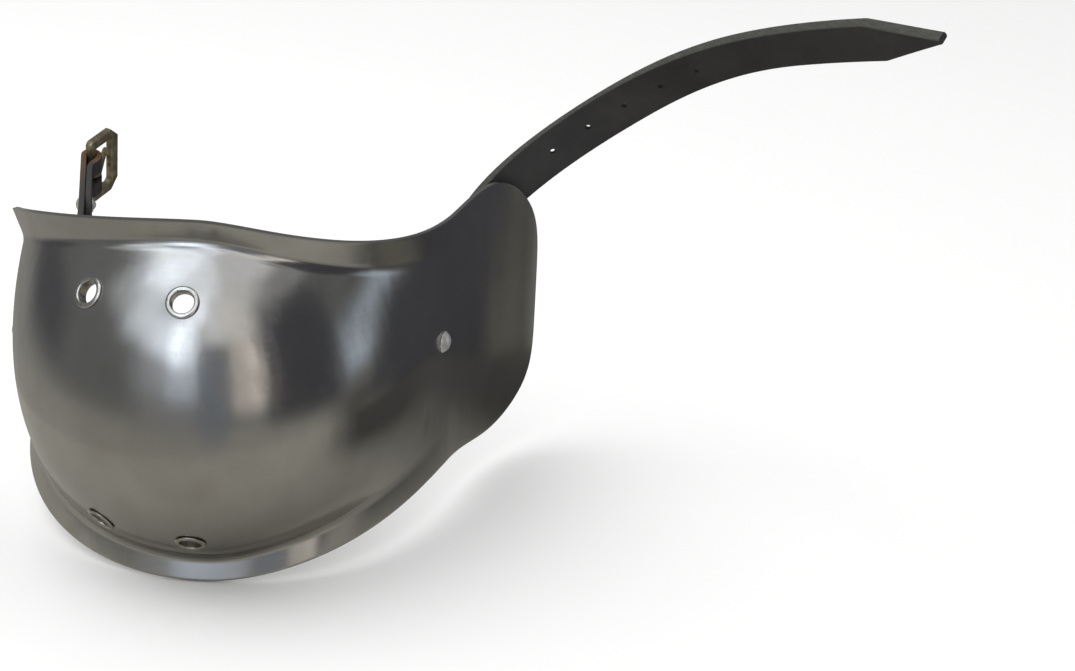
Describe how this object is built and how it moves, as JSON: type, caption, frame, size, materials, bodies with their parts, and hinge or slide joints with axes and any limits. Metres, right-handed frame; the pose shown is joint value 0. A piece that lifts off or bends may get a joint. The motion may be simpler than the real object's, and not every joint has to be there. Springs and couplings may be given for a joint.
{
  "type": "plate armour couter",
  "caption": "Steel elbow cop with a bowl, flared rims and one wing, laced by eyelets and closed round the arm by a strap and buckle.",
  "frame": {"origin": "centre of the bottom of the whole part's box, under the lower rim", "axes": "+Z along the arm, -Y out through the elbow point, +X towards the wing and the long strap"},
  "size_m": [0.275, 0.178, 0.1733],
  "materials": {
    "sheet_steel": "polished by hand, with fine scratches",
    "eyelet_nickel": "nickel plated, worn",
    "rivet_steel": "domed and dull",
    "buckle_brass": "antique, darkened",
    "strap_leather": "black and smooth, edges raw"
  },
  "bodies": {
    "cop": {"cop_shell": "sheet_steel", "eyelet_a_top": "eyelet_nickel", "eyelet_a_bottom": "eyelet_nickel", "eyelet_b_top": "eyelet_nickel", "eyelet_b_bottom": "eyelet_nickel", "washer_a_top": "eyelet_nickel", "washer_a_bottom": "eyelet_nickel", "washer_b_top": "eyelet_nickel", "washer_b_bottom": "eyelet_nickel", "strap_rivet": "rivet_steel", "strap_rivet_burr": "rivet_steel", "chape_rivet": "rivet_steel", "chape_rivet_burr": "rivet_steel"},
    "strap": {"long_strap": "strap_leather"},
    "chape": {"buckle_strap": "strap_leather", "fold_rivet": "rivet_steel", "fold_rivet_burr": "rivet_steel"},
    "frame": {"buckle_frame": "buckle_brass"},
    "prong": {"buckle_prong": "buckle_brass"}
  },
  "joints": [
    {"name": "strap_swivel", "type": "hinge", "parent": "cop", "child": "strap", "pos_m": [-0.00103, -0.01208, 0.06031], "axis": [0.958, -0.2868, 0], "range_deg": [-50, 0]},
    {"name": "chape_swivel", "type": "hinge", "parent": "cop", "child": "chape", "pos_m": [-0.13522, -0.01246, 0.05771], "axis": [-0.9941, -0.108, 0], "range_deg": [-50, 50]},
    {"name": "buckle_hinge", "type": "hinge", "parent": "chape", "child": "frame", "pos_m": [-0.13176, 0.07361, 0.08295], "axis": [0.1103, -0.2771, 0.9545], "range_deg": [-108, 35]},
    {"name": "prong_hinge", "type": "hinge", "parent": "frame", "child": "prong", "pos_m": [-0.13176, 0.07361, 0.08295], "axis": [0.1103, -0.2771, 0.9545], "range_deg": [0, 134]}
  ]
}
